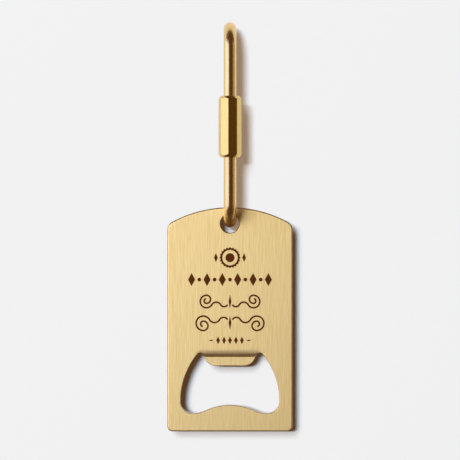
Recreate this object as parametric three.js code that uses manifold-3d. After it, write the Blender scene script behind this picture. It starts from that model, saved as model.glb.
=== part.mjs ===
// Keychain bottle opener: a flat brass-coloured opener plate that hangs on an oval screw-lock ring.
// Millimetres, +Z up. The origin is the hang point, the inner surface of the ring's upper bend.
// The ring's centreline lies in the YZ plane, and the plate lies in the XZ plane with its face to -Y.
import * as THREE from "three";
import { mergeVertices } from "three/addons/utils/BufferGeometryUtils.js";
import Module from "manifold-3d";

const wasm = await Module();
wasm.setup();

// ---------- Driving dimensions: the ring ----------
const rodDiameter = 4;
const ringHeight = 65.7; // outside, from the top of the upper bend to the bottom of the lower bend
const ringWidth = 19; // outside, over both legs

// ---------- Driving dimensions: the lock on the ring's front leg ----------
const gateGap = 7; // open space between the two rod ends
const gateDrop = 1; // the gate's middle lies this far under the middle of the leg
const threadDepth = 0.2; // the threaded stubs are drawn this much under the rod's surface
const sleeveLength = 19.3;
const sleeveSides = 8;
const sleeveAcrossFlats = 6.8;
const sleeveTurn = THREE.MathUtils.degToRad(8); // a corner stands this far off the front
const sleeveChamfer = 1; // length of the turned chamfer at a corner
const sleeveChamferDepth = 0.68; // how far that chamfer reaches in from a corner
const threadBandLength = 5; // female thread near the sleeve's lower end
const coverMargin = 0.35; // the closed sleeve covers the stubs by this much at each end
const runningClearance = 0.3; // radial, between the sleeve's bore and the rod

// ---------- Driving dimensions: the opener plate ----------
const plateWidth = 40;
const plateHeight = 71.6; // from the bottom edge to the top of the arch
const plateThickness = 3;
const archRadius = 39;
const shoulderRadius = 3; // where the arch meets a side
const cornerRadius = 1.6; // bottom corners
const edgeRound = 0.4;
const holeDiameter = 6;
const holeBridge = 2.2; // metal left between the hole and the top of the arch
const hangClearance = 0.1; // between the hole's rim and the bend that it hangs on

// ---------- Driving dimensions: the crown-cap window and its lip ----------
const windowWidth = 31.6; // at its widest
const windowBottomMargin = 5.7; // metal under the lowest points of the window
const lobeRadius = 3.9; // the two round lower corners
const sideRadius = 24; // the long curve up each side
const notchRadius = 1.1; // relief notch at each end of the lip
const notchAngle = THREE.MathUtils.degToRad(38.9); // how far a side curve runs before its notch
const bumpRise = 2.68; // the lower edge's middle stands this far above its lowest points
const bumpRadius = 17.9; // crown of that lower edge
const lipWidth = 16.6;
const lipLength = 3.1;
const lipCornerRadius = 3.8; // a corner's arc runs up into the lip's root
const lipThickness = 2.2;
const lipSetback = 1.3; // the lip's face lies this far behind the plate's face
const lipRoll = 2.7; // height of the rolled shoulder above the lip

// ---------- Faceting ----------
const rodCurveSegments = 10; // the rod's section has twice as many sides
const rodSteps = 96;
const outlineSegments = 8; // an arc of an outline has twice as many steps
const sleeveBoreSides = 32;

// ---------- Worked out: the ring ----------
const rodRadius = rodDiameter / 2;
const bendRadius = ringWidth / 2 - rodRadius;
const upperBendZ = -(bendRadius - rodRadius);
const ringBottomZ = rodDiameter - ringHeight;
const lowerBendZ = ringBottomZ + rodRadius + bendRadius;
const gateZ = (upperBendZ + lowerBendZ) / 2 - gateDrop;
const stubLength = (sleeveLength - gateGap) / 2 - coverMargin;
const stubRadius = rodRadius - threadDepth;
const upperShoulderZ = gateZ + gateGap / 2 + stubLength;
const lowerShoulderZ = gateZ - gateGap / 2 - stubLength;

// ---------- Worked out: the plate ----------
const halfThickness = plateThickness / 2;
const holeRadius = holeDiameter / 2;
const bendInnerRadius = bendRadius - rodRadius;
const bendRise = bendInnerRadius - Math.sqrt(bendInnerRadius ** 2 - halfThickness ** 2);
const holeTopZ = ringBottomZ + rodDiameter + bendRise + hangClearance;
const plateTopZ = holeTopZ + holeBridge;
const plateBottomZ = plateTopZ - plateHeight;
const holeZ = holeTopZ - holeRadius;

// ---------- Worked out: the window, with heights above the plate's bottom edge ----------
const lobeX = windowWidth / 2 - lobeRadius;
const lobeZ = windowBottomMargin + lobeRadius;
const sideX = windowWidth / 2 - sideRadius;
// The bump's arc turns by this much before it meets the arc that leads into a lobe.
const waveAngle = 2 * Math.atan(bumpRise / lobeX);
const waveRadius = lobeX / Math.sin(waveAngle) - bumpRadius;
const notchX = sideX + (sideRadius - notchRadius) * Math.cos(notchAngle);
const notchZ = lobeZ + (sideRadius - notchRadius) * Math.sin(notchAngle);
const lipRootZ = notchZ;
const lipFaceY = -halfThickness + lipSetback;
const lipBackY = lipFaceY + lipThickness;

// ---------- Helpers ----------
const brass = (name, color, roughness) =>
  new THREE.MeshStandardMaterial({ name, color, roughness, metalness: 1 });

function toSolid(geometry) {
  const bare = geometry.clone();
  bare.deleteAttribute("normal");
  bare.deleteAttribute("uv");
  const merged = mergeVertices(bare, 1e-4);
  return new wasm.Manifold(
    new wasm.Mesh({
      numProp: 3,
      vertProperties: merged.attributes.position.array,
      triVerts: new Uint32Array(merged.index.array),
    }),
  );
}

function toMesh(name, solid, material) {
  const { vertProperties, triVerts } = solid.getMesh();
  const geometry = new THREE.BufferGeometry();
  geometry.setAttribute("position", new THREE.BufferAttribute(vertProperties, 3));
  geometry.setIndex(new THREE.BufferAttribute(triVerts, 1));
  const flat = geometry.toNonIndexed();
  flat.computeVertexNormals();
  const mesh = new THREE.Mesh(flat, material);
  mesh.name = name;
  return mesh;
}

// A turned piece about the Z axis, from [radius, z] pairs that start and end on the axis.
function turned(profile, sides) {
  const points = profile.map(([radius, z]) => new THREE.Vector2(radius, z));
  return new THREE.LatheGeometry(points, sides).rotateX(Math.PI / 2);
}

// A straight prism of an outline drawn in the XZ plane, from y = front to y = back.
function prismAlongY(shape, front, back) {
  const geometry = new THREE.ExtrudeGeometry(shape, {
    depth: back - front,
    bevelEnabled: false,
    curveSegments: outlineSegments,
  });
  return geometry.rotateX(Math.PI / 2).translate(0, back, 0);
}

// A straight prism along X of a side profile drawn as [y, z] pairs.
function prismAlongX(profile, width) {
  const shape = new THREE.Shape(profile.map(([y, z]) => new THREE.Vector2(y, z)));
  const geometry = new THREE.ExtrudeGeometry(shape, { depth: width, bevelEnabled: false });
  const axes = new THREE.Matrix4().makeBasis(
    new THREE.Vector3(0, 1, 0),
    new THREE.Vector3(0, 0, 1),
    new THREE.Vector3(1, 0, 0),
  );
  return geometry.applyMatrix4(axes).translate(-width / 2, 0, 0);
}

// ---------- The ring: one rod bent into a long oval, cut open at the gate ----------
// The centreline runs from the lower shoulder down round the lower bend, up the back leg,
// over the upper bend and down the front leg to the upper shoulder.
class RingCentreline extends THREE.Curve {
  constructor() {
    super();
    this.bendLength = Math.PI * bendRadius;
    this.pieces = [
      { length: lowerShoulderZ - lowerBendZ, at: (s) => [-bendRadius, lowerShoulderZ - s] },
      { length: this.bendLength, at: (s) => this.onBend(lowerBendZ, Math.PI + s / bendRadius) },
      { length: upperBendZ - lowerBendZ, at: (s) => [bendRadius, lowerBendZ + s] },
      { length: this.bendLength, at: (s) => this.onBend(upperBendZ, s / bendRadius) },
      { length: upperBendZ - upperShoulderZ, at: (s) => [-bendRadius, upperBendZ - s] },
    ];
    this.total = this.pieces.reduce((sum, piece) => sum + piece.length, 0);
  }

  onBend(centreZ, angle) {
    return [bendRadius * Math.cos(angle), centreZ + bendRadius * Math.sin(angle)];
  }

  getPoint(t, target = new THREE.Vector3()) {
    let left = t * this.total;
    let index = 0;
    while (index < this.pieces.length - 1 && left > this.pieces[index].length) {
      left -= this.pieces[index].length;
      index += 1;
    }
    const [y, z] = this.pieces[index].at(left);
    return target.set(0, y, z);
  }
}

function makeLinkRod() {
  const section = new THREE.Shape().absarc(0, 0, rodRadius, 0, 2 * Math.PI);
  const bentRod = new THREE.ExtrudeGeometry(section, {
    steps: rodSteps,
    extrudePath: new RingCentreline(),
    curveSegments: rodCurveSegments,
  });
  const embed = threadDepth; // each stub reaches this far into the rod, so that they join
  const stub = turned(
    [
      [0, 0],
      [stubRadius - threadDepth, 0],
      [stubRadius, threadDepth],
      [stubRadius, stubLength + embed],
      [0, stubLength + embed],
    ],
    2 * rodCurveSegments,
  );
  const upperStub = stub.clone().translate(0, -bendRadius, gateZ + gateGap / 2);
  const lowerStub = stub.clone().rotateX(Math.PI).translate(0, -bendRadius, gateZ - gateGap / 2);
  const solid = toSolid(bentRod).add(toSolid(upperStub)).add(toSolid(lowerStub));
  return toMesh("link_rod", solid, brass("polished brass rod", 0xc79a52, 0.22));
}

// ---------- The sleeve: an octagonal bar, turned down at both ends and bored from end to end ----------
function makeLockSleeve() {
  const cornerRadiusOfBar = sleeveAcrossFlats / 2 / Math.cos(Math.PI / sleeveSides);
  const bar = new THREE.CylinderGeometry(
    cornerRadiusOfBar,
    cornerRadiusOfBar,
    sleeveLength,
    sleeveSides,
  );
  bar.rotateX(Math.PI / 2).rotateZ(Math.PI / 2 + sleeveTurn);
  bar.translate(0, 0, sleeveLength / 2);
  const beyond = 1; // the turning envelope clears the corners by this much
  const envelopeRadius = cornerRadiusOfBar + beyond;
  const chamferRise = (beyond * sleeveChamfer) / sleeveChamferDepth;
  const endRadius = cornerRadiusOfBar - sleeveChamferDepth;
  const envelope = turned(
    [
      [0, 0],
      [endRadius, 0],
      [envelopeRadius, sleeveChamfer + chamferRise],
      [envelopeRadius, sleeveLength - sleeveChamfer - chamferRise],
      [endRadius, sleeveLength],
      [0, sleeveLength],
    ],
    2 * sleeveBoreSides,
  );
  const boreRadius = rodRadius + runningClearance;
  const bandRadius = stubRadius + runningClearance;
  const mouthDepth = coverMargin + runningClearance;
  const overrun = 1; // the bore's cutter runs past both end faces
  const bore = turned(
    [
      [0, -overrun],
      [boreRadius, -overrun],
      [boreRadius, mouthDepth],
      [bandRadius, mouthDepth],
      [bandRadius, mouthDepth + threadBandLength],
      [boreRadius, mouthDepth + threadBandLength],
      [boreRadius, sleeveLength + overrun],
      [0, sleeveLength + overrun],
    ],
    sleeveBoreSides,
  );
  const solid = toSolid(bar).intersect(toSolid(envelope)).subtract(toSolid(bore));
  const mesh = toMesh("lock_sleeve", solid, brass("satin brass sleeve", 0xd9b573, 0.3));
  mesh.position.set(0, -bendRadius, gateZ - sleeveLength / 2);
  return mesh;
}

// ---------- The plate: outline, hole, window and the lip pressed back at the window's upper edge ----------
function plateOutline() {
  const half = plateWidth / 2;
  const archCentreZ = plateHeight - archRadius;
  // The shoulder arc touches the side and, from inside, the arch.
  const shoulderX = half - shoulderRadius;
  const reach = archRadius - shoulderRadius;
  const shoulderZ = archCentreZ + Math.sqrt(reach ** 2 - shoulderX ** 2);
  const shoulderAngle = Math.atan2(shoulderZ - archCentreZ, shoulderX);
  const shape = new THREE.Shape();
  shape.moveTo(-half + cornerRadius, 0);
  shape.lineTo(half - cornerRadius, 0);
  shape.absarc(half - cornerRadius, cornerRadius, cornerRadius, -Math.PI / 2, 0);
  shape.absarc(shoulderX, shoulderZ, shoulderRadius, 0, shoulderAngle);
  shape.absarc(0, archCentreZ, archRadius, shoulderAngle, Math.PI - shoulderAngle);
  shape.absarc(-shoulderX, shoulderZ, shoulderRadius, Math.PI - shoulderAngle, Math.PI);
  shape.absarc(-half + cornerRadius, cornerRadius, cornerRadius, Math.PI, 1.5 * Math.PI);
  return shape;
}

// The window runs anticlockwise from the middle of its lower edge, through the right side,
// along the lip's root line and back down the left side.
function windowOutline() {
  const bumpZ = windowBottomMargin + bumpRise;
  const rightUp = Math.PI / 2 - waveAngle;
  const leftUp = Math.PI / 2 + waveAngle;
  const path = new THREE.Path();
  path.moveTo(0, bumpZ);
  path.absarc(0, bumpZ - bumpRadius, bumpRadius, Math.PI / 2, rightUp, true);
  path.absarc(lobeX, windowBottomMargin + waveRadius, waveRadius, rightUp - Math.PI, -Math.PI / 2);
  path.absarc(lobeX, lobeZ, lobeRadius, -Math.PI / 2, 0);
  path.absarc(sideX, lobeZ, sideRadius, 0, notchAngle);
  path.absarc(notchX, notchZ, notchRadius, notchAngle, Math.PI);
  path.lineTo(-notchX + notchRadius, notchZ);
  path.absarc(-notchX, notchZ, notchRadius, 0, Math.PI - notchAngle);
  path.absarc(-sideX, lobeZ, sideRadius, Math.PI - notchAngle, Math.PI);
  path.absarc(-lobeX, lobeZ, lobeRadius, Math.PI, 1.5 * Math.PI);
  path.absarc(-lobeX, windowBottomMargin + waveRadius, waveRadius, -Math.PI / 2, leftUp - Math.PI);
  path.absarc(0, bumpZ - bumpRadius, bumpRadius, leftUp, Math.PI / 2, true);
  return path;
}

// The lip seen from the front: square at its root and round at its two free corners.
function lipOutline() {
  const half = lipWidth / 2;
  const tipZ = lipRootZ - lipLength;
  const shape = new THREE.Shape();
  shape.moveTo(-half, lipRootZ + lipRoll);
  shape.absarc(-half + lipCornerRadius, tipZ + lipCornerRadius, lipCornerRadius, Math.PI, 1.5 * Math.PI);
  shape.absarc(half - lipCornerRadius, tipZ + lipCornerRadius, lipCornerRadius, -Math.PI / 2, 0);
  shape.lineTo(half, lipRootZ + lipRoll);
  return shape;
}

// The lip seen from the side: it is set back behind the face and stands a little proud at the back.
function lipSideProfile() {
  const tipZ = lipRootZ - lipLength;
  return [
    [lipFaceY, tipZ + edgeRound],
    [lipFaceY + edgeRound, tipZ],
    [lipBackY - edgeRound, tipZ],
    [lipBackY, tipZ + edgeRound],
    [lipBackY, lipRootZ],
    [halfThickness - edgeRound, lipRootZ + lipRoll],
    [lipFaceY, lipRootZ + lipRoll],
  ];
}

// What the press pushes out of the face above the lip: a rounded shoulder, then the setback.
function rollCutProfile() {
  const outside = -plateThickness;
  const steps = outlineSegments;
  const roll = Array.from({ length: steps + 1 }, (_, i) => {
    const angle = (i / steps) * (Math.PI / 2);
    return [lipFaceY - lipSetback * Math.cos(angle), lipRootZ + lipRoll * (1 - Math.sin(angle))];
  });
  const below = lipRootZ - edgeRound;
  return [[outside, below], [outside, lipRootZ + lipRoll], ...roll, [lipFaceY, below]]
    .reverse();
}

function makeOpenerPlate() {
  const outline = plateOutline();
  const holePath = new THREE.Path();
  holePath.absarc(0, holeZ - plateBottomZ, holeRadius, 0, 2 * Math.PI, false);
  outline.holes.push(holePath, windowOutline());
  const sheet = new THREE.ExtrudeGeometry(outline, {
    depth: plateThickness - 2 * edgeRound,
    bevelThickness: edgeRound,
    bevelSize: edgeRound,
    bevelOffset: -edgeRound,
    bevelSegments: 2,
    curveSegments: outlineSegments,
  });
  sheet.rotateX(Math.PI / 2).translate(0, halfThickness - edgeRound, 0);
  const lip = toSolid(prismAlongY(lipOutline(), -plateThickness, plateThickness))
    .intersect(toSolid(prismAlongX(lipSideProfile(), plateWidth)));
  const rollCut = toSolid(prismAlongX(rollCutProfile(), 2 * notchX));
  const solid = toSolid(sheet).subtract(rollCut).add(lip);
  const mesh = toMesh("opener_plate", solid, brass("brushed brass plate", 0xe3c078, 0.34));
  mesh.position.z = plateBottomZ;
  return mesh;
}

const opener = new THREE.Group();
opener.add(makeLinkRod(), makeLockSleeve(), makeOpenerPlate());

export default opener;
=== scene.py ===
# %% [markdown]
# # A keychain bottle opener, made piece by piece
#
# The object is a flat brass opener plate that hangs on a long oval ring. The ring is one bent rod whose
# two ends meet under an octagonal screw sleeve. The CAD frame fixes where everything sits, so the first
# cell loads it and keeps its box. Everything here is in metres, and MM turns millimetres into them.

# %% Load the frame
import math

import bmesh
import bpy
from mathutils import Matrix, Vector


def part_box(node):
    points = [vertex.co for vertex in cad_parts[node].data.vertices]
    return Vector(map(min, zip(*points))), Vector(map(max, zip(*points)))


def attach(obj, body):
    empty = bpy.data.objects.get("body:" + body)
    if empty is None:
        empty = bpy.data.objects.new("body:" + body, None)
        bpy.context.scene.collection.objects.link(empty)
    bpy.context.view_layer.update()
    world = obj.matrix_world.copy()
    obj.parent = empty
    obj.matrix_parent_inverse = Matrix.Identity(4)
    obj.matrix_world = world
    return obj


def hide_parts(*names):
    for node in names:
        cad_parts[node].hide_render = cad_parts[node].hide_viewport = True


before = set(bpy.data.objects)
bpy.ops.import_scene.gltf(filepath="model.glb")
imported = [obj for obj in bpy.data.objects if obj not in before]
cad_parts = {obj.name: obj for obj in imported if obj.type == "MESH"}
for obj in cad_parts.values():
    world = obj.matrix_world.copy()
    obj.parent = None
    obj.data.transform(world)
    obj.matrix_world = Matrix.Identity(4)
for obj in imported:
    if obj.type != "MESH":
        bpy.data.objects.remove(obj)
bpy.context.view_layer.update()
MM = 0.001

# %% [markdown]
# ## Camera
#
# The opener is seen square on, with a long lens, so that its plate stays a true rectangle. A parallel
# view would do that too, but it would flatten the ring's bends. The camera looks at the middle of the
# opener, and that place is measured down from the top of the ring.

# %% Camera
CAMERA_DISTANCE = 600 * MM
VIEW_WIDTH = 147.2 * MM
VIEW_MIDDLE_BELOW_RING_TOP = 66.46 * MM
FAR_CLIP = 10
# The low and the high corner of the box round each CAD node.
ring_low, ring_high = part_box("link_rod")
plate_low, plate_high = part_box("opener_plate")
sleeve_low, sleeve_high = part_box("lock_sleeve")

camera_data = bpy.data.cameras.new("camera")
camera_data.lens = camera_data.sensor_width * CAMERA_DISTANCE / VIEW_WIDTH
camera_data.clip_end = FAR_CLIP
camera = bpy.data.objects.new("camera", camera_data)
camera.location = (0, -CAMERA_DISTANCE, ring_high.z - VIEW_MIDDLE_BELOW_RING_TOP)
camera.rotation_euler = (math.radians(90), 0, 0)
bpy.context.scene.collection.objects.link(camera)
bpy.context.scene.camera = camera
# Standard shows every colour as it was set, with no film curve over it.
bpy.context.scene.view_settings.view_transform = "Standard"
print("lens in mm:", round(camera_data.lens, 1))

# %% [markdown]
# ## Helpers for nodes
#
# A surface is a small network of nodes. One function adds a node with its settings, the values of its
# inputs and the links into it. Colours are written as sRGB hex, as a paint program shows them, but nodes
# work in linear light, so another function turns the first into the second.


# %% Colours and nodes
def linear(hex_colour):
    """An sRGB hex colour as the linear RGBA that a node takes."""
    channels = [int(hex_colour[i : i + 2], 16) / 255 for i in (1, 3, 5)]
    return [c / 12.92 if c <= 0.04045 else ((c + 0.055) / 1.055) ** 2.4 for c in channels] + [1]


def add_node(tree, kind, settings=None, inputs=None, links=None):
    """Adds one node, with its settings, the values of its inputs, and links from other nodes' sockets."""
    node = tree.nodes.new(kind)
    for name, value in (settings or {}).items():
        setattr(node, name, value)
    for name, value in (inputs or {}).items():
        node.inputs[name].default_value = value
    for name, socket in (links or {}).items():
        tree.links.new(socket, node.inputs[name])
    return node


def new_material(name):
    """An empty node material and its output node."""
    material = bpy.data.materials.new(name)
    material.use_nodes = True
    material.node_tree.nodes.clear()
    return material, material.node_tree, material.node_tree.nodes.new("ShaderNodeOutputMaterial")


# %% [markdown]
# ## Wall and floor
#
# A wall stands just behind the ring's back leg and catches the soft shadow, and a pale floor lies well
# below. A curved sheet would also work, but a flat wall keeps the shadow simple. The wall has to stay
# out of the way when the object is seen from behind, so its back face is clear, and it throws no shadow
# of its own. Brass mirrors the wall but not the floor, and dull surfaces get no bounced light from
# either.

# %% Wall paint
PALE = "#f4f4f4"


def wall_paint():
    """Matt white paint that is clear from behind, so that the back of the object can be looked at.

    Once a line of sight has come through the back of the wall, its mirror images don't see the wall
    either, so the back of the object mirrors the room.
    """
    material, tree, output = new_material("matt_wall_paint")
    paint = add_node(tree, "ShaderNodeBsdfDiffuse", inputs={"Color": linear(PALE)})
    clear = add_node(tree, "ShaderNodeBsdfTransparent")
    side = add_node(tree, "ShaderNodeNewGeometry")
    sight = add_node(tree, "ShaderNodeLightPath")
    from_behind = add_node(
        tree,
        "ShaderNodeMath",
        {"operation": "MAXIMUM"},
        links={0: side.outputs["Backfacing"], 1: sight.outputs["Transparent Depth"]},
    )
    mix = add_node(tree, "ShaderNodeMixShader", links={"Fac": from_behind.outputs[0]})
    tree.links.new(paint.outputs[0], mix.inputs[1])
    tree.links.new(clear.outputs[0], mix.inputs[2])
    tree.links.new(mix.outputs[0], output.inputs["Surface"])
    return material


# %% Wall and floor
WALL_GAP = 0.3 * MM
WALL_SIZE = 3.0
FLOOR_DROP = 120 * MM


def stage_sheet(name, size, place, material):
    """A flat square sheet that isn't part of the object."""
    bm = bmesh.new()
    bmesh.ops.create_grid(bm, x_segments=1, y_segments=1, size=size / 2, matrix=place)
    mesh = bpy.data.meshes.new(name)
    bm.to_mesh(mesh)
    bm.free()
    mesh.materials.append(material)
    sheet = bpy.data.objects.new(name, mesh)
    bpy.context.scene.collection.objects.link(sheet)
    return sheet


wall_y = ring_high.y + WALL_GAP
floor_z = plate_low.z - FLOOR_DROP
upright = Matrix.Rotation(math.radians(90), 4, "X")
wall_place = Matrix.Translation((0, wall_y, floor_z + WALL_SIZE / 2)) @ upright
paint = wall_paint()
wall = stage_sheet("wall", WALL_SIZE, wall_place, paint)
floor = stage_sheet("floor", WALL_SIZE * 2, Matrix.Translation((0, 0, floor_z)), paint)
wall.visible_diffuse = False
wall.visible_shadow = False
floor.visible_diffuse = False
floor.visible_glossy = False
print("wall at y in mm:", round(wall_y / MM, 2))

# %% [markdown]
# ## Light
#
# Polished brass shows only what stands round it. A tall soft box on the left gives the ring its long
# highlight, a weaker one on the right the second, thin one, and the dark room in front gives the dark
# stripe between them. A third box fills the plate's brushed face from the front, and a fourth lights
# the back.
#
# The wall has its own key light, far off on the left: a flat lamp gives the shadow its core, and a tall,
# weaker one its soft edge. Both are ovals, because an oval's light fades more softly across the edge of
# a shadow than a rectangle's. Light linking keeps each lamp to what it is meant for.


# %% A soft box
def soft_box(name, azimuth, elevation, distance, size, radiance, colour, receivers, blockers=None):
    """A soft box that looks at the object. Azimuth 0 is the front, and positive turns to the left.

    receivers is what it lights. blockers, where given, is what casts shadows in its light.
    """
    lamp_data = bpy.data.lights.new(name, "AREA")
    lamp_data.shape = "ELLIPSE" if blockers else "RECTANGLE"
    lamp_data.size, lamp_data.size_y = size
    lamp_data.energy = radiance * math.pi * size[0] * size[1]
    lamp_data.color = linear(colour)[:3]
    lamp = bpy.data.objects.new(name, lamp_data)
    a, e = math.radians(azimuth), math.radians(elevation)
    away = Vector((-math.sin(a) * math.cos(e), -math.cos(a) * math.cos(e), math.sin(e)))
    lamp.location = Vector((0, 0, camera.location.z)) + away * distance
    lamp.rotation_euler = away.to_track_quat("Z", "Y").to_euler()
    lamp.visible_camera = False
    lamp.light_linking.receiver_collection = receivers
    lamp.light_linking.blocker_collection = blockers
    bpy.context.scene.collection.objects.link(lamp)


# %% What each lamp lights
backdrop_lit = bpy.data.collections.new("lit_by_key")
backdrop_lit.objects.link(wall)
floor_lit = bpy.data.collections.new("lit_from_above")
floor_lit.objects.link(floor)
# The pieces join these collections once they are made.
brass_lit = bpy.data.collections.new("lit_by_side_boxes")
plate_lit = bpy.data.collections.new("lit_by_plate_box")
all_shade = bpy.data.collections.new("shade_of_everything")
plate_shade = bpy.data.collections.new("shade_of_the_plate")

# %% Key light for the wall
KEY_DISTANCE = 6
# The ring throws a paler, warmer shadow than the plate, so it blocks only the cooler pair of key lamps.
# Each row is a tint, an azimuth, a share of the light, a colour, and what casts shadows in it.
KEY_TINTS = (
    ("cool", 10, 0.85, "#e1f2ff", all_shade),
    ("warm", 15, 0.27, "#ffe1c1", plate_shade),
)
# Each row is a height, an elevation, a size in metres and a radiance.
KEY_SHAPES = (
    ("low", 5.6, (1.05, 0.17), 366),
    ("high", 13, (1.05, 1.4), 33),
)
for tint, azimuth, share, colour, blockers in KEY_TINTS:
    for height, elevation, size, radiance in KEY_SHAPES:
        soft_box(
            f"key_{height}_{tint}",
            azimuth,
            elevation,
            KEY_DISTANCE,
            size,
            radiance * share,
            colour,
            backdrop_lit,
            blockers,
        )

# %% Soft boxes for the brass
BOX_DISTANCE = 1.2
# Each row is a name, an azimuth, an elevation, a size in metres, a radiance, a colour and what it lights.
BOXES = (
    ("left_box", 62, 0, (1.9, 1.6), 2.0, "#d2dcff", brass_lit),
    ("right_box", -68, 0, (0.42, 1.3), 0.6, "#ffe9cc", brass_lit),
    ("plate_box", 36, 7, (0.8, 0.8), 4.4, "#fffaf2", plate_lit),
    ("back_box", 190, 25, (1.1, 1.1), 2.6, "#fff8ee", brass_lit),
)
for name, azimuth, elevation, size, radiance, colour, receivers in BOXES:
    soft_box(name, azimuth, elevation, BOX_DISTANCE, size, radiance, colour, receivers)

# %% Light for the floor
OVERHEAD_STRENGTH = 3.1
OVERHEAD_SPREAD = math.radians(60)
overhead_data = bpy.data.lights.new("overhead", "SUN")
overhead_data.energy = OVERHEAD_STRENGTH
overhead_data.angle = OVERHEAD_SPREAD
overhead = bpy.data.objects.new("overhead", overhead_data)
overhead.light_linking.receiver_collection = floor_lit
bpy.context.scene.collection.objects.link(overhead)
print("lamps:", [lamp.name for lamp in bpy.data.lights])

# %% [markdown]
# ## Room
#
# The room itself is dark and warm, which gives brass its brown depths. The camera sees a plain pale
# backdrop instead. A furnished room would give richer reflections, but a plain one keeps the stripes on
# the rod clean.

# %% Room
# Linear red, green and blue.
ROOM_GLOW = [0.1, 0.05, 0.019, 1]
world = bpy.data.worlds.new("room")
bpy.context.scene.world = world
world.use_nodes = True
room = world.node_tree
room.nodes.clear()
room_light = add_node(room, "ShaderNodeBackground", inputs={"Color": ROOM_GLOW})
backdrop = add_node(room, "ShaderNodeBackground", inputs={"Color": linear(PALE)})
seen = add_node(room, "ShaderNodeLightPath")
room_mix = add_node(room, "ShaderNodeMixShader", links={"Fac": seen.outputs["Is Camera Ray"]})
room.links.new(room_light.outputs[0], room_mix.inputs[1])
room.links.new(backdrop.outputs[0], room_mix.inputs[2])
add_node(room, "ShaderNodeOutputWorld", links={"Surface": room_mix.outputs[0]})

# %% [markdown]
# ## Materials
#
# All three pieces are brass, and each has its own finish. The rod is drawn and polished, so it is nearly
# a mirror. The sleeve is milled bar with a satin finish. The plate is sheet that was brushed lengthwise:
# fine scratches run up and down, so light spreads sideways. The plate's cut edges were only tumbled, so
# they are smoother, and they are painted a darker brown as painted shade for the dark lines along the
# rims. Its marking is a dark skin that a laser burnt.
#
# An image of scratches would do, but noise stretched along Z has no seams and costs nothing. Real
# scratches are hundredths of a millimetre wide. They would be too fine to show, so they are drawn several
# times coarser.

# %% Scratches
GRAIN_DETAIL = 4.0
GRAIN_ROUGHNESS = 0.6
# Most of the noise lies between these two values, so they are spread over the whole range.
GRAIN_LOW = 0.35
GRAIN_HIGH = 0.65


def grain(tree, width, length):
    """Noise stretched along Z: scratches of that width and length, in metres."""
    place = add_node(tree, "ShaderNodeTexCoord")
    stretched = add_node(
        tree,
        "ShaderNodeMapping",
        inputs={"Scale": (1 / width, 1 / width, 1 / length)},
        links={"Vector": place.outputs["Object"]},
    )
    return add_node(
        tree,
        "ShaderNodeTexNoise",
        inputs={"Scale": 1.0, "Detail": GRAIN_DETAIL, "Roughness": GRAIN_ROUGHNESS},
        links={"Vector": stretched.outputs["Vector"]},
    )


# %% Brass
def brass(name, dark, light, roughness, anisotropic, scratch, scratch_depth):
    """Metallic brass with lengthwise scratches.

    roughness is its least and its most. scratch is the width and the length of a scratch.
    """
    material, tree, output = new_material(name)
    fine = grain(tree, *scratch)
    tone = add_node(
        tree, "ShaderNodeMix", {"data_type": "RGBA"}, {"A": linear(dark), "B": linear(light)}
    )
    spread = add_node(
        tree,
        "ShaderNodeMapRange",
        inputs={"From Min": GRAIN_LOW, "From Max": GRAIN_HIGH},
        links={"Value": fine.outputs["Fac"]},
    )
    tree.links.new(spread.outputs["Result"], tone.inputs["Factor"])
    rough = add_node(
        tree,
        "ShaderNodeMapRange",
        inputs={"To Min": roughness[1], "To Max": roughness[0]},
        links={"Value": spread.outputs["Result"]},
    )
    relief = add_node(
        tree,
        "ShaderNodeBump",
        inputs={"Strength": 1.0, "Distance": scratch_depth},
        links={"Height": fine.outputs["Fac"]},
    )
    across = add_node(
        tree,
        "ShaderNodeVectorTransform",
        {"vector_type": "VECTOR", "convert_from": "OBJECT", "convert_to": "WORLD"},
        {"Vector": (1, 0, 0)},
    )
    surface = add_node(
        tree,
        "ShaderNodeBsdfPrincipled",
        inputs={"Metallic": 1.0, "Anisotropic": anisotropic},
        links={
            "Base Color": tone.outputs["Result"],
            "Roughness": rough.outputs["Result"],
            "Normal": relief.outputs["Normal"],
            "Tangent": across.outputs["Vector"],
        },
    )
    tree.links.new(surface.outputs["BSDF"], output.inputs["Surface"])
    return material


# %% Finishes
# Polished rod: hardly any relief, so it mirrors the soft boxes and the dark room as long stripes.
polished_brass = brass(
    "polished_brass",
    dark="#e8c482",
    light="#efd092",
    roughness=(0.24, 0.32),
    anisotropic=0.0,
    scratch=(0.3 * MM, 8 * MM),
    scratch_depth=0.0002 * MM,
)
# Satin bar: fine lengthwise tool marks blur each flat's mirror image a little sideways.
satin_brass = brass(
    "satin_brass",
    dark="#dcbb70",
    light="#e8cc80",
    roughness=(0.2, 0.27),
    anisotropic=0.3,
    scratch=(0.15 * MM, 6 * MM),
    scratch_depth=0.001 * MM,
)
# Brushed sheet: deep scratches and a high roughness make the face pale and even, with a visible grain.
PLATE_SCRATCH = (0.14 * MM, 7 * MM)
brushed_brass = brass(
    "brushed_brass",
    dark="#e4cc8a",
    light="#f1dea6",
    roughness=(0.45, 0.55),
    anisotropic=0.6,
    scratch=PLATE_SCRATCH,
    scratch_depth=0.002 * MM,
)
# Tumbled edges: smooth, and painted a darker brown than the face. The brown is painted shade, so that
# the rims show dark, crisp lines against the face.
tumbled_brass_painted_shade = brass(
    "tumbled_brass_painted_shade",
    dark="#96642c",
    light="#ab7a3c",
    roughness=(0.16, 0.2),
    anisotropic=0.0,
    scratch=(0.3 * MM, 3 * MM),
    scratch_depth=0.0005 * MM,
)


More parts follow.
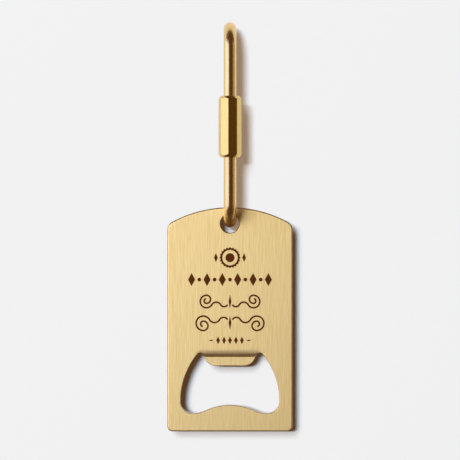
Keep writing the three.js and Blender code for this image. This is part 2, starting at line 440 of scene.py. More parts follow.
# %% Laser mark
def laser_mark():
    """Brass turned dark brown by a laser. It is an oxide, so it isn't metallic, and it is dull."""
    material, tree, output = new_material("laser_marked_brass")
    fine = grain(tree, *PLATE_SCRATCH)
    tone = add_node(
        tree,
        "ShaderNodeMix",
        {"data_type": "RGBA"},
        {"A": linear("#502604"), "B": linear("#6b3808")},
        {"Factor": fine.outputs["Fac"]},
    )
    surface = add_node(
        tree,
        "ShaderNodeBsdfPrincipled",
        inputs={"Roughness": 0.7, "Specular IOR Level": 0.1},
        links={"Base Color": tone.outputs["Result"]},
    )
    tree.links.new(surface.outputs["BSDF"], output.inputs["Surface"])
    return material


dark_mark = laser_mark()
print("materials:", [material.name for material in bpy.data.materials])

# %% [markdown]
# ## Making pieces
#
# Each piece is a bmesh that becomes one object at the origin, so a pattern on Object coordinates stays
# put. Edges that turn sharply are marked sharp, and weighted normals keep big flats flat right up to
# their rounded edges. Finer meshes would do the same with far more faces.

# %% From bmesh to piece
# Vertices closer than this are one vertex.
SAME_PLACE = 1e-7


def make_piece(name, bm, material, body, smooth_degrees=40):
    """Turns a bmesh into an object that rides on a CAD body."""
    bmesh.ops.remove_doubles(bm, verts=bm.verts, dist=SAME_PLACE)
    bmesh.ops.recalc_face_normals(bm, faces=bm.faces)
    for face in bm.faces:
        face.smooth = True
    for edge in bm.edges:
        if len(edge.link_faces) == 2 and edge.calc_face_angle() > math.radians(smooth_degrees):
            edge.smooth = False
    mesh = bpy.data.meshes.new(name)
    bm.to_mesh(mesh)
    bm.free()
    mesh.materials.append(material)
    piece = bpy.data.objects.new(name, mesh)
    bpy.context.scene.collection.objects.link(piece)
    normals = piece.modifiers.new("weighted_normals", "WEIGHTED_NORMAL")
    normals.keep_sharp = True
    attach(piece, body)
    return piece


def report(piece):
    """Prints a piece's faces and size."""
    size = [round(v / MM, 2) for v in piece.dimensions]
    print(f"{piece.name}: {len(piece.data.polygons)} faces, {size} mm")


# %% [markdown]
# ## The ring
#
# A drawn rod, bent round two posts into a long oval, with a gap left in its front leg. The same steps
# work here: one circle is drawn out along the leg, spun round each bend, and drawn out again. At the
# gap each end is turned down and cut with a thread. A bevelled curve would give the rod but not its ends.

# %% Ring sizes
ROD_RADIUS = (ring_high.x - ring_low.x) / 2
BEND_RADIUS = (ring_high.y - ring_low.y) / 2 - ROD_RADIUS
UPPER_BEND_Z = ring_high.z - ROD_RADIUS - BEND_RADIUS
LOWER_BEND_Z = ring_low.z + ROD_RADIUS + BEND_RADIUS
RING_SIDES = 64
BEND_STEPS = 48
# The gap in the front leg, and how far the sleeve reaches over the full rod at each side of the stubs.
GATE_GAP = 7.0 * MM
COVER = 0.35 * MM
gate_z = (sleeve_low.z + sleeve_high.z) / 2
stub_length = (sleeve_high.z - sleeve_low.z - GATE_GAP) / 2 - COVER
STUB_CHAMFER = 0.12 * MM
THREAD_PITCH = 0.7 * MM
THREAD_CREST = 1.92 * MM
THREAD_ROOT = 1.58 * MM
print("bend radius and stub in mm:", round(BEND_RADIUS / MM, 2), round(stub_length / MM, 2))


# %% Drawing out and bending
def once_each(items):
    """The items as a list without repeats, in the same order on every run, which a set doesn't keep."""
    return list(dict.fromkeys(items))


def pull(bm, loop, offset=(0, 0, 0), scale=1.0, centre=(0, 0, 0)):
    """Extrudes an open loop of edges, then moves and scales its new edge about centre."""
    made = bmesh.ops.extrude_edge_only(bm, edges=loop)["geom"]
    verts = [g for g in made if isinstance(g, bmesh.types.BMVert)]
    bmesh.ops.scale(
        bm, verts=verts, vec=(scale, scale, 1), space=Matrix.Translation(-Vector(centre))
    )
    bmesh.ops.translate(bm, verts=verts, vec=offset)
    return [e for e in made if isinstance(e, bmesh.types.BMEdge) and all(v in verts for v in e.verts)]


def bend(bm, loop, centre_z):
    """Spins an open loop half a turn about the X axis through that height."""
    made = bmesh.ops.spin(
        bm,
        geom=loop + once_each(v for e in loop for v in e.verts),
        cent=(0, 0, centre_z),
        axis=(1, 0, 0),
        angle=-math.pi,
        steps=BEND_STEPS,
        use_duplicate=False,
    )
    return [g for g in made["geom_last"] if isinstance(g, bmesh.types.BMEdge)]


# %% Threaded stubs
THREAD_STEPS = 32
THREAD_MARGIN = 0.5 * MM
# Half of the ridge's width at its foot and at its tip.
RIDGE_FOOT = 0.42 * THREAD_PITCH
RIDGE_TIP = 0.07 * THREAD_PITCH
# The ridge's foot starts a little inside the stub, so that no gap shows between them.
RIDGE_SINK = 0.97


def turn_stub(bm, loop, way, centre):
    """Ends the rod in a stub. way is 1 upwards and -1 downwards."""
    end_radius = ROD_RADIUS - STUB_CHAMFER
    shoulder = pull(bm, loop, (0, 0, way * STUB_CHAMFER), end_radius / ROD_RADIUS, centre)
    root = pull(bm, shoulder, (0, 0, 0), THREAD_ROOT / end_radius, centre)
    tip = pull(bm, root, (0, 0, way * (stub_length - 3 * STUB_CHAMFER)), 1.0, centre)
    nose = pull(bm, tip, (0, 0, way * 2 * STUB_CHAMFER), 1 - 2 * STUB_CHAMFER / THREAD_ROOT, centre)
    bmesh.ops.edgeloop_fill(bm, edges=nose)


def thread_ridge(bm, start_z, turns, centre):
    """A helical ridge: a small trapezoid spun with a rise at every step, closed at both ends."""
    root = THREAD_ROOT * RIDGE_SINK
    corners = [(root, -RIDGE_FOOT), (THREAD_CREST, -RIDGE_TIP)]
    corners += [(THREAD_CREST, RIDGE_TIP), (root, RIDGE_FOOT)]
    verts = [bm.verts.new((centre.x + r, centre.y, start_z + z)) for r, z in corners]
    edges = [bm.edges.new((verts[i], verts[(i + 1) % 4])) for i in range(4)]
    bm.faces.new(verts)
    made = bmesh.ops.spin(
        bm,
        geom=edges + verts,
        cent=centre,
        axis=(0, 0, 1),
        angle=2 * math.pi * turns,
        steps=THREAD_STEPS * turns,
        dvec=(0, 0, THREAD_PITCH / THREAD_STEPS),
        use_duplicate=False,
    )
    last = [g for g in made["geom_last"] if isinstance(g, bmesh.types.BMEdge)]
    bmesh.ops.contextual_create(bm, geom=last)


# %% Ring rod
def make_ring():
    """The rod from its upper stub round both bends to its lower stub, and the threads."""
    bm = bmesh.new()
    leg = Vector((0, -BEND_RADIUS, 0))
    upper_shoulder = gate_z + GATE_GAP / 2 + stub_length
    lower_shoulder = gate_z - GATE_GAP / 2 - stub_length
    start = Matrix.Translation(leg + Vector((0, 0, upper_shoulder)))
    bmesh.ops.create_circle(bm, segments=RING_SIDES, radius=ROD_RADIUS, matrix=start)
    first = list(bm.edges)
    loop = pull(bm, first, (0, 0, UPPER_BEND_Z - upper_shoulder))
    loop = bend(bm, loop, UPPER_BEND_Z)
    loop = pull(bm, loop, (0, 0, LOWER_BEND_Z - UPPER_BEND_Z))
    loop = bend(bm, loop, LOWER_BEND_Z)
    loop = pull(bm, loop, (0, 0, lower_shoulder - LOWER_BEND_Z))
    turn_stub(bm, first, -1, leg)
    turn_stub(bm, loop, 1, leg)
    turns = math.floor((stub_length - 2 * THREAD_MARGIN) / THREAD_PITCH)
    for stub_foot in (upper_shoulder - stub_length, lower_shoulder):
        thread_ridge(bm, stub_foot + THREAD_MARGIN, turns, leg)
    piece = make_piece("ring_rod", bm, polished_brass, "ring")
    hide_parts("link_rod")
    return piece


ring = make_ring()
report(ring)

# %% [markdown]
# ## The sleeve
#
# Octagonal bar, turned down at both ends so that each flat ends in a curved edge, and bored through.
# The bar is a bevelled prism, and two turned shapes cut it: one keeps what lies inside the turned
# envelope, and one drills the stepped bore. Scaling a cylinder's ends would not give those curves.

# %% Sleeve sizes
SLEEVE_SIDES = 8
ACROSS_FLATS = 6.8 * MM
# How far the sleeve is turned from square when it is screwed home.
SLEEVE_TURN = math.radians(8)
CORNER_ROUND = 0.16 * MM
CORNER_SEGMENTS = 4
CHAMFER_LENGTH = 1.0 * MM
CHAMFER_DEPTH = 0.68 * MM
EDGE_SOFTNESS = 0.06 * MM
BORE_CLEARANCE = 0.3 * MM
BORE_FLARE = 0.25 * MM
# The narrower band in the bore that grips the lower stub's thread.
BAND_RADIUS = 2.1 * MM
BAND_LENGTH = 5.0 * MM
ENVELOPE_STEPS = 128
BORE_STEPS = 96
sleeve_axis = Vector((0, -BEND_RADIUS, 0))
corner_radius = ACROSS_FLATS / 2 / math.cos(math.pi / SLEEVE_SIDES)
print("sleeve across corners in mm:", round(2 * corner_radius / MM, 2))


# %% Octagonal bar
def as_object(name, bm):
    """A plain object made from a bmesh, for cutting with."""
    mesh = bpy.data.meshes.new(name)
    bm.to_mesh(mesh)
    bm.free()
    tool = bpy.data.objects.new(name, mesh)
    bpy.context.scene.collection.objects.link(tool)
    return tool


def make_bar():
    """The octagonal bar, as long as the sleeve, with slightly rounded corners."""
    low, high = sleeve_low.z, sleeve_high.z
    middle = Matrix.Translation(sleeve_axis + Vector((0, 0, (low + high) / 2)))
    bm = bmesh.new()
    bmesh.ops.create_cone(
        bm,
        cap_ends=True,
        segments=SLEEVE_SIDES,
        radius1=corner_radius,
        radius2=corner_radius,
        depth=high - low,
        matrix=middle @ Matrix.Rotation(-math.pi / 2 - SLEEVE_TURN, 4, "Z"),
    )
    uprights = [e for e in bm.edges if abs(e.verts[0].co.z - e.verts[1].co.z) > MM]
    bmesh.ops.bevel(
        bm,
        geom=uprights,
        offset=CORNER_ROUND,
        segments=CORNER_SEGMENTS,
        profile=0.5,
        affect="EDGES",
        material=-1,
    )
    return as_object("bar", bm)


# %% Turning and cutting
def turned(profile, steps):
    """A turned solid about the sleeve's axis, from [radius, z] pairs that start and end on the axis."""
    bm = bmesh.new()
    verts = [bm.verts.new((sleeve_axis.x + r, sleeve_axis.y, z)) for r, z in profile]
    edges = [bm.edges.new(pair) for pair in zip(verts, verts[1:])]
    bmesh.ops.spin(
        bm,
        geom=verts + edges,
        cent=sleeve_axis,
        axis=(0, 0, 1),
        angle=2 * math.pi,
        steps=steps,
        use_merge=True,
        use_duplicate=False,
    )
    bmesh.ops.remove_doubles(bm, verts=bm.verts, dist=SAME_PLACE)
    bmesh.ops.recalc_face_normals(bm, faces=bm.faces)
    return bm


def cut(base, tool, operation):
    """Applies one boolean to base, and throws the tool away."""
    step = base.modifiers.new(operation, "BOOLEAN")
    step.operation = operation
    step.solver = "EXACT"
    step.object = tool
    evaluated = base.evaluated_get(bpy.context.evaluated_depsgraph_get())
    mesh = bpy.data.meshes.new_from_object(evaluated)
    base.modifiers.clear()
    base.data = mesh
    bpy.data.objects.remove(tool)


# %% Turned shapes
# How far the cutting shapes reach past the metal.
BEYOND = 1 * MM


def envelope_profile():
    """The turned outside: it leaves the bar's flats alone and cuts a cone at each end."""
    low, high = sleeve_low.z, sleeve_high.z
    end_radius = corner_radius - CHAMFER_DEPTH
    rise = CHAMFER_LENGTH + BEYOND * CHAMFER_LENGTH / CHAMFER_DEPTH
    wide = corner_radius + BEYOND
    profile = [(0, low), (end_radius, low), (wide, low + rise), (wide, high - rise)]
    return profile + [(end_radius, high), (0, high)]


def bore_profile():
    """The bore: flared at both ends, clear of the rod, and narrower at the thread's band."""
    low, high = sleeve_low.z, sleeve_high.z
    clear = ROD_RADIUS + BORE_CLEARANCE
    flared = clear + BORE_FLARE + BEYOND
    band_low = low + COVER + BORE_CLEARANCE
    band_high = band_low + BAND_LENGTH
    profile = [(0, low - BEYOND), (flared, low - BEYOND), (clear, low + BORE_FLARE)]
    profile += [(clear, band_low), (BAND_RADIUS, band_low), (BAND_RADIUS, band_high), (clear, band_high)]
    return profile + [(clear, high - BORE_FLARE), (flared, high + BEYOND), (0, high + BEYOND)]


# %% Sleeve
def make_sleeve():
    """The bar, cut by both turned shapes, with its edges softened."""
    bar = make_bar()
    cut(bar, as_object("envelope", turned(envelope_profile(), ENVELOPE_STEPS)), "INTERSECT")
    cut(bar, as_object("bore", turned(bore_profile(), BORE_STEPS)), "DIFFERENCE")
    bm = bmesh.new()
    bm.from_mesh(bar.data)
    bpy.data.objects.remove(bar)
    piece = make_piece("screw_sleeve", bm, satin_brass, "sleeve", smooth_degrees=15)
    soften = piece.modifiers.new("soft_edges", "BEVEL")
    soften.width = EDGE_SOFTNESS
    soften.segments = 2
    soften.limit_method = "ANGLE"
    soften.angle_limit = math.radians(20)
    # The edges are rounded first, and then the normals are weighted.
    piece.modifiers.move(1, 0)
    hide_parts("lock_sleeve")
    return piece


sleeve = make_sleeve()
report(sleeve)

# %% [markdown]
# ## The plate
#
# A blank stamped from 3 mm sheet: the outline, the hang hole and the window are drawn with straight
# runs and arcs, filled, thickened and rounded at every edge. The lip is not a separate piece. A press
# pushes it back from the face, so here a smooth step moves the metal of the lip back, and the rolled
# shoulder above it comes out of the same move. Booleans would cut the openings too, but their edges
# would not round as cleanly.

# %% Plate sizes
PLATE_THICKNESS = 3.0 * MM
ARCH_RADIUS = 39 * MM
SHOULDER_RADIUS = 3.0 * MM
FOOT_RADIUS = 1.6 * MM
HOLE_RADIUS = 3.0 * MM
# The metal that is left between the hang hole and the top of the arch.
HOLE_BRIDGE = 2.2 * MM
half_width = plate_high.x
plate_height = plate_high.z - plate_low.z
half_thick = PLATE_THICKNESS / 2
hole_z = plate_high.z - HOLE_BRIDGE - HOLE_RADIUS
print("plate in mm:", round(2 * half_width / MM, 2), "by", round(plate_height / MM, 2))


# %% A pen for straight runs and arcs
def run_line(bm, start, x, z):
    """Draws a straight edge from a vertex to a place on the plate."""
    end = bmesh.ops.extrude_vert_indiv(bm, verts=[start])["verts"][0]
    end.co = (x, 0, z)
    return end


def run_arc(bm, start, x, z, degrees, steps):
    """Draws an arc from a vertex about a centre. Positive degrees turn anticlockwise from the front."""
    made = bmesh.ops.spin(
        bm,
        geom=[start],
        cent=(x, 0, z),
        axis=(0, -1, 0),
        angle=math.radians(degrees),
        steps=steps,
        use_duplicate=False,
    )
    return [g for g in made["geom_last"] if isinstance(g, bmesh.types.BMVert)][0]


# %% Outline and hole
def draw_outline(bm):
    """The right half of the plate's outline, from the middle of the foot to the top of the arch."""
    base = plate_low.z
    arch_z = base + plate_height - ARCH_RADIUS
    shoulder_x = half_width - SHOULDER_RADIUS
    reach = ARCH_RADIUS - SHOULDER_RADIUS
    shoulder_z = arch_z + math.sqrt(reach**2 - shoulder_x**2)
    turn = math.degrees(math.atan2(shoulder_z - arch_z, shoulder_x))
    pen = bm.verts.new((0, 0, base))
    pen = run_line(bm, pen, half_width - FOOT_RADIUS, base)
    pen = run_arc(bm, pen, half_width - FOOT_RADIUS, base + FOOT_RADIUS, 90, 12)
    pen = run_line(bm, pen, half_width, shoulder_z)
    pen = run_arc(bm, pen, shoulder_x, shoulder_z, turn, 12)
    run_arc(bm, pen, 0, arch_z, 90 - turn, 24)


def draw_hole(bm):
    """The right half of the hang hole."""
    pen = bm.verts.new((0, 0, hole_z - HOLE_RADIUS))
    run_arc(bm, pen, 0, hole_z, 180, 32)


# %% Window
# The window's widest half, and its lowest points at the two lobes.
WINDOW_HALF = 15.8 * MM
WINDOW_BOTTOM = 5.7 * MM
LOBE_RADIUS = 3.9 * MM
SIDE_RADIUS = 24 * MM
# The side's arc runs up to a tight notch beside the lip.
NOTCH_RADIUS = 1.1 * MM
NOTCH_DEGREES = 38.9
# The bump in the lower edge, between the lobes.
BUMP_RISE = 2.68 * MM
BUMP_RADIUS = 17.9 * MM
LIP_HALF = 8.3 * MM
LIP_LENGTH = 3.1 * MM
LIP_CORNER = 3.8 * MM


def draw_window(bm):
    """The right half of the window, from the bump in its lower edge round to the middle of the lip.

    Returns the height of the lip's root.
    """
    base = plate_low.z
    lobe_x = WINDOW_HALF - LOBE_RADIUS
    lobe_z = base + WINDOW_BOTTOM + LOBE_RADIUS
    side_x = WINDOW_HALF - SIDE_RADIUS
    notch = math.radians(NOTCH_DEGREES)
    notch_x = side_x + (SIDE_RADIUS - NOTCH_RADIUS) * math.cos(notch)
    notch_z = lobe_z + (SIDE_RADIUS - NOTCH_RADIUS) * math.sin(notch)
    wave_turn = 2 * math.atan(BUMP_RISE / lobe_x)
    wave_radius = lobe_x / math.sin(wave_turn) - BUMP_RADIUS
    bump_z = base + WINDOW_BOTTOM + BUMP_RISE
    pen = bm.verts.new((0, 0, bump_z))
    pen = run_arc(bm, pen, 0, bump_z - BUMP_RADIUS, -math.degrees(wave_turn), 14)
    pen = run_arc(bm, pen, lobe_x, base + WINDOW_BOTTOM + wave_radius, math.degrees(wave_turn), 8)
    pen = run_arc(bm, pen, lobe_x, lobe_z, 90, 20)
    pen = run_arc(bm, pen, side_x, lobe_z, NOTCH_DEGREES, 20)
    pen = run_arc(bm, pen, notch_x, notch_z, 180 - NOTCH_DEGREES, 16)
    tip_z = notch_z - LIP_LENGTH
    # The corner's arc is wider than the lip is long, so it starts part of the way round.
    skipped = math.asin(1 - LIP_LENGTH / LIP_CORNER)
    root_x = LIP_HALF - LIP_CORNER * (1 - math.cos(skipped))
    pen = run_line(bm, pen, root_x, notch_z)
    pen = run_arc(bm, pen, LIP_HALF - LIP_CORNER, tip_z + LIP_CORNER, math.degrees(skipped) - 90, 14)
    run_line(bm, pen, 0, tip_z)
    return notch_z


# %% The pressed step
# The press moves the lip's face back further than its back, so the lip is thinner than the sheet.
LIP_SETBACK = 1.3 * MM
LIP_BACK_BULGE = 0.5 * MM
# The step is a tall, shallow roll with a tight fillet under it.
ROLL_HEIGHT = 2.4 * MM
ROLL_DEPTH = 0.85 * MM
FILLET_HEIGHT = 0.3 * MM
ROLL_STEPS = 10
FILLET_STEPS = 5


def press_profile(root_z):
    """(height, share of the setback) down the pressed step: a convex roll, then a tight fillet."""
    roll = ROLL_DEPTH / LIP_SETBACK
    steps = []
    for i in range(ROLL_STEPS + 1):
        a = math.pi / 2 * i / ROLL_STEPS
        steps.append((root_z + ROLL_HEIGHT * (1 - math.sin(a)), roll * (1 - math.cos(a))))
    for i in range(1, FILLET_STEPS + 1):
        b = math.pi / 2 * i / FILLET_STEPS
        steps.append((root_z - FILLET_HEIGHT * (1 - math.cos(b)), roll + (1 - roll) * math.sin(b)))
    return steps


def press_share(profile, z):
    """How much of the setback the press gives at a height."""
    if z >= profile[0][0]:
        return 0.0
    for (z0, s0), (z1, s1) in zip(profile, profile[1:]):
        if z >= z1:
            return s0 + (s1 - s0) * (z0 - z) / max(z0 - z1, 1e-12)
    return 1.0


# %% Pressing the lip
# The press is at full depth within the first distance from the middle, and has no effect past the second.
PRESS_FULL_X = 8.7 * MM
PRESS_END_X = 10.9 * MM
SLICE_MARGIN = 0.5 * MM


def slice_near(bm, point, normal, low_z, high_z):
    """Cuts the faces near the lip with a plane."""
    faces = [
        f
        for f in bm.faces
        if min(abs(v.co.x) for v in f.verts) < PRESS_END_X + SLICE_MARGIN
        and min(v.co.z for v in f.verts) < high_z + SLICE_MARGIN
        and max(v.co.z for v in f.verts) > low_z - SLICE_MARGIN
    ]
    edges = once_each(e for f in faces for e in f.edges)
    verts = once_each(v for f in faces for v in f.verts)
    bmesh.ops.bisect_plane(bm, geom=verts + edges + faces, dist=1e-8, plane_co=point, plane_no=normal)


def press_lip(bm, root_z, window_low):
    """Cuts the sheet along the step's lines, then moves the lip and the roll above it back."""
    profile = press_profile(root_z)
    heights = sorted({round(z, 8) for z, _ in profile}, reverse=True)
    for x in (PRESS_FULL_X, (PRESS_FULL_X + PRESS_END_X) / 2, PRESS_END_X):
        slice_near(bm, (x, 0, 0), (1, 0, 0), root_z - LIP_LENGTH, profile[0][0])
    for z in heights:
        slice_near(bm, (0, 0, z), (0, 0, 1), root_z - LIP_LENGTH, profile[0][0])
    for vert in bm.verts:
        x, y, z = vert.co
        if z < window_low:
            continue
        side = min(max((PRESS_END_X - abs(x)) / (PRESS_END_X - PRESS_FULL_X), 0), 1)
        share = press_share(profile, z) * side * side * (3 - 2 * side)
        back = (y + half_thick) / PLATE_THICKNESS
        vert.co.y += share * (LIP_SETBACK * (1 - back) + LIP_BACK_BULGE * back)


# %% Blank
# Vertices nearer to the plate's middle than this lie on it.
ON_MIDDLE = 1e-6


def make_blank():
    """The whole sheet with its openings and with sharp edges, and the height of the lip's root."""
    bm = bmesh.new()
    draw_outline(bm)
    draw_hole(bm)
    root_z = draw_window(bm)
    # The half sheet is closed along the middle line between the foot, the window, the hole and the arch.
    middle = sorted((v for v in bm.verts if abs(v.co.x) < ON_MIDDLE), key=lambda v: v.co.z)
    for low, high in ((0, 1), (2, 3), (4, 5)):
        bm.edges.new((middle[low], middle[high]))
    bmesh.ops.triangle_fill(bm, edges=bm.edges, use_beauty=True, use_dissolve=False)
    # One face to a half, so that no stray edge meets the rims and stops them from being rounded.
    bmesh.ops.dissolve_faces(bm, faces=bm.faces[:], use_verts=False)
    made = bmesh.ops.extrude_face_region(bm, geom=list(bm.faces))["geom"]
    moved = [g for g in made if isinstance(g, bmesh.types.BMVert)]
    bmesh.ops.translate(bm, verts=bm.verts, vec=(0, -half_thick, 0))
    bmesh.ops.translate(bm, verts=moved, vec=(0, PLATE_THICKNESS, 0))
    middle_walls = [f for f in bm.faces if all(abs(v.co.x) < ON_MIDDLE for v in f.verts)]
    bmesh.ops.delete(bm, geom=middle_walls, context="FACES")
    bmesh.ops.mirror(bm, geom=bm.verts[:] + bm.edges[:] + bm.faces[:], axis="X", merge_dist=ON_MIDDLE)
    bmesh.ops.remove_doubles(bm, verts=bm.verts, dist=SAME_PLACE)
    bmesh.ops.recalc_face_normals(bm, faces=bm.faces)
    return bm, root_z


# %% Rims
# How far each kind of rim is rounded, and in how many steps.
RIM_ROUNDS = {"outer": (0.45 * MM, 5), "window": (0.7 * MM, 6), "hole": (0.35 * MM, 4)}
RIM_DEGREES = 60
RIM_SLACK = 0.2 * MM


def find_rims(bm, root_z):
    """The sharp edges of both faces, sorted into the outer rim and those of the two openings."""
    window_low = plate_low.z + WINDOW_BOTTOM - RIM_SLACK
    window_high = root_z + NOTCH_RADIUS + RIM_SLACK
    rims = {name: [] for name in RIM_ROUNDS}
    for edge in bm.edges:
        if len(edge.link_faces) != 2 or edge.calc_face_angle() < math.radians(RIM_DEGREES):
            continue
        if abs(edge.verts[0].co.y - edge.verts[1].co.y) > ON_MIDDLE:
            continue
        x, _, z = (edge.verts[0].co + edge.verts[1].co) / 2
        near_window = abs(x) < WINDOW_HALF + RIM_SLACK and window_low < z < window_high
        near_hole = math.hypot(x, z - hole_z) < HOLE_RADIUS + RIM_SLACK
        rims["hole" if near_hole else "window" if near_window else "outer"].append(edge)
    return rims


def round_rims(bm, rims):
    """Rounds every rim."""
    for name, (offset, segments) in RIM_ROUNDS.items():
        bmesh.ops.bevel(
            bm,
            geom=[e for e in rims[name] if e.is_valid],
            offset=offset,
            segments=segments,
            profile=0.5,
            affect="EDGES",
            material=-1,
            clamp_overlap=True,
        )


# %% Plate
# A face whose normal has at least this much of Y in it is part of the brushed face or back.
BRUSHED_FACING = 0.98


def make_plate():
    """The blank with rounded rims, its two finishes, and the lip pressed back."""
    bm, root_z = make_blank()
    round_rims(bm, find_rims(bm, root_z))
    # The cut walls and their rounded edges are smooth from the tumbler, so they take the second finish.
    # Its darker brown colour is painted shade for the dark lines along the rims.
    for face in bm.faces:
        face.normal_update()
        face.material_index = 0 if abs(face.normal.y) > BRUSHED_FACING else 1
    bmesh.ops.triangulate(bm, faces=[f for f in bm.faces if len(f.verts) > 4])
    press_lip(bm, root_z, plate_low.z + WINDOW_BOTTOM + LOBE_RADIUS)
    piece = make_piece("opener_sheet", bm, brushed_brass, "plate", smooth_degrees=35)
    # The second finish is smooth, and its brown colour is painted shade for the rims.
    piece.data.materials.append(tumbled_brass_painted_shade)
    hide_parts("opener_plate")
    return piece


plate = make_plate()
report(plate)

# %% [markdown]
# ## The marking
#
# A laser heats a thin skin of the brass until it turns dark brown, and leaves no depth to feel. The
# artwork here is plain ornament: a crown cap, a band of lozenges, two rows of scrolls and a short rule.
# A scroll is a short edge spun round one arc after another, which is how a pen draws it. Everything is
# drawn flat, then given a thickness of hundredths of a millimetre so that it lies on the face. A dark
# pattern in the plate's material would do too, but its edges would be less crisp.

# %% Marking sizes
MARK_PROUD = 0.01 * MM
MARK_THICKNESS = 0.02 * MM
# How far each row lies below the plate's top.
CAP_ROW = 16.1 * MM
BAND_ROW = 23.1 * MM
UPPER_SCROLL_ROW = 30.1 * MM
LOWER_SCROLL_ROW = 36.9 * MM
RULE_ROW = 42.5 * MM
# The distance from one lozenge's middle to the next.
CAP_SPACING = 9.0 * MM
BAND_SPACING = 4.9 * MM
RULE_SPACING = 1.9 * MM
DASH_SPACING = 12.0 * MM
# Each lozenge's width and height.
CAP_LOZENGE = (1.2 * MM, 3.0 * MM)
BAND_LOZENGE = (2.3 * MM, 4.2 * MM)
SCROLL_LOZENGE = (0.9 * MM, 4.6 * MM)
RULE_LOZENGE = (1.2 * MM, 2.5 * MM)
RULE_DASH = (1.6 * MM, 0.5 * MM)
BAND_DOT_RADIUS = 0.6 * MM


# %% Discs and lozenges
def mark_place(x, below_top):
    """Where a flat mark goes: centred at x, and that far below the plate's top."""
    return Matrix.Translation((x, 0, plate_high.z - below_top)) @ upright


def mark_disc(bm, x, below_top, radius):
    """A round dot."""
    place = mark_place(x, below_top)
    bmesh.ops.create_circle(bm, cap_ends=True, segments=32, radius=radius, matrix=place)


def mark_row(bm, count, spacing, below_top, size):
    """Lozenges side by side, centred on the plate. size is the width and the height of one."""
    shape = Matrix.Diagonal((size[0] / 2, size[1] / 2, 1, 1))
    for i in range(count):
        place = mark_place((i - (count - 1) / 2) * spacing, below_top) @ shape
        bmesh.ops.create_circle(bm, cap_ends=True, segments=4, radius=1, matrix=place)


# %% Crown cap
CAP_TEETH = 20
CAP_STEPS_PER_TOOTH = 8
CAP_OUTER_RADIUS = 3.2 * MM
CAP_INNER_RADIUS = 2.45 * MM
CAP_DISC_RADIUS = 1.45 * MM
CAP_SCALLOP = 0.05


def mark_cap(bm, below_top):
    """A crown cap from above: a scalloped ring of teeth round a disc."""
    loops = []
    for radius in (CAP_OUTER_RADIUS, CAP_INNER_RADIUS):
        made = bmesh.ops.create_circle(
            bm, cap_ends=False, segments=CAP_TEETH * CAP_STEPS_PER_TOOTH, radius=radius, matrix=Matrix()
        )
        loops.append(made["verts"])
    for vert in loops[0]:
        angle = math.atan2(vert.co.y, vert.co.x)
        vert.co *= 1 + CAP_SCALLOP * math.cos(CAP_TEETH * angle)
    edges = once_each(e for loop in loops for v in loop for e in v.link_edges)
    bmesh.ops.bridge_loops(bm, edges=edges)
    bmesh.ops.transform(bm, matrix=mark_place(0, below_top), verts=loops[0] + loops[1])
    mark_disc(bm, 0, below_top, CAP_DISC_RADIUS)


# %% Scrolls
STROKE = 0.55 * MM
STROKE_STEP_DEGREES = 9
# A wave of two arcs, and then a spiral of three that tightens.
SCROLL_DEGREES = (120, -120, 240, 180, 170)
SCROLL_RADII = (1.3 * MM, 1.6 * MM, 2.0 * MM, 1.3 * MM, 0.75 * MM)
SCROLL_HEADING = 60
SCROLL_START = 0.75 * MM
# The strokes of a row start this far from its middle.
SCROLL_OFFSET = 1 * MM
LOWER_SCROLL_SCALE = 1.15


def mark_stroke(bm, x, below_top, heading, arcs):
    """Spins a short edge round arcs. Each arc is a radius and degrees, positive to the left."""
    turned_by = math.radians(heading)
    at = Vector((x, 0, plate_high.z - below_top))
    left = Vector((-math.sin(turned_by), 0, math.cos(turned_by)))
    pair = [bm.verts.new(at + left * side * STROKE / 2) for side in (-1, 1)]
    geom = [bm.edges.new(pair)] + pair
    for radius, degrees in arcs:
        left = Vector((-math.sin(turned_by), 0, math.cos(turned_by)))
        centre = at + left * math.copysign(radius, degrees)
        made = bmesh.ops.spin(
            bm,
            geom=geom,
            cent=centre,
            axis=(0, -1, 0),
            angle=math.radians(degrees),
            steps=max(4, round(abs(degrees) / STROKE_STEP_DEGREES)),
            use_duplicate=False,
        )
        geom = made["geom_last"]
        at = centre + Matrix.Rotation(-math.radians(degrees), 3, "Y") @ (at - centre)
        turned_by += math.radians(degrees)


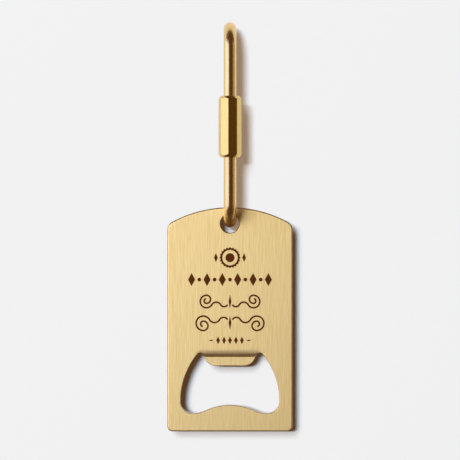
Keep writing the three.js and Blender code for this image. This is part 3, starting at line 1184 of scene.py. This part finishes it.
def mark_scrolls(bm, below_top, scale, up):
    """A wave that ends in a scroll, to the right and mirrored to the left. up is 1, or -1 to flip it."""
    for side in (1, -1):
        arcs = [(r * scale, t * up * side) for r, t in zip(SCROLL_RADII, SCROLL_DEGREES)]
        heading = -SCROLL_HEADING * up if side == 1 else 180 + SCROLL_HEADING * up
        mark_stroke(bm, side * SCROLL_START, below_top, heading, arcs)


# %% Marking
def make_marking():
    """All the rows in one piece, with a skin's thickness."""
    bm = bmesh.new()
    mark_cap(bm, CAP_ROW)
    mark_row(bm, 2, CAP_SPACING, CAP_ROW, CAP_LOZENGE)
    mark_row(bm, 6, BAND_SPACING, BAND_ROW, BAND_LOZENGE)
    for i in range(5):
        mark_disc(bm, (i - 2) * BAND_SPACING, BAND_ROW, BAND_DOT_RADIUS)
    mark_scrolls(bm, UPPER_SCROLL_ROW + SCROLL_OFFSET, 1, 1)
    mark_scrolls(bm, LOWER_SCROLL_ROW - SCROLL_OFFSET, LOWER_SCROLL_SCALE, -1)
    mark_row(bm, 1, 0, UPPER_SCROLL_ROW, SCROLL_LOZENGE)
    mark_row(bm, 1, 0, LOWER_SCROLL_ROW, SCROLL_LOZENGE)
    mark_row(bm, 5, RULE_SPACING, RULE_ROW, RULE_LOZENGE)
    mark_row(bm, 2, DASH_SPACING, RULE_ROW, RULE_DASH)
    made = bmesh.ops.extrude_face_region(bm, geom=bm.faces[:])["geom"]
    moved = [g for g in made if isinstance(g, bmesh.types.BMVert)]
    bmesh.ops.translate(bm, verts=bm.verts, vec=(0, -half_thick - MARK_PROUD, 0))
    bmesh.ops.translate(bm, verts=moved, vec=(0, MARK_THICKNESS, 0))
    return make_piece("plate_marking", bm, dark_mark, "plate")


marking = make_marking()
report(marking)

# %% [markdown]
# ## Giving the pieces their light
#
# The pieces join the lamps' collections now that they are there. The plate's box lights the plate and
# its marking, and the other boxes light every piece. The wall should be lit by its own key alone. Real
# brass would also throw a warm glow on it, which a studio keeps off with black card, and here the pieces
# are hidden from the wall's scattered light.

# %% Pieces and lamps
plate_lit.objects.link(plate)
plate_lit.objects.link(marking)
plate_shade.objects.link(plate)
for piece in (ring, sleeve, plate, marking):
    piece.visible_diffuse = False
    all_shade.objects.link(piece)
    brass_lit.objects.link(piece)
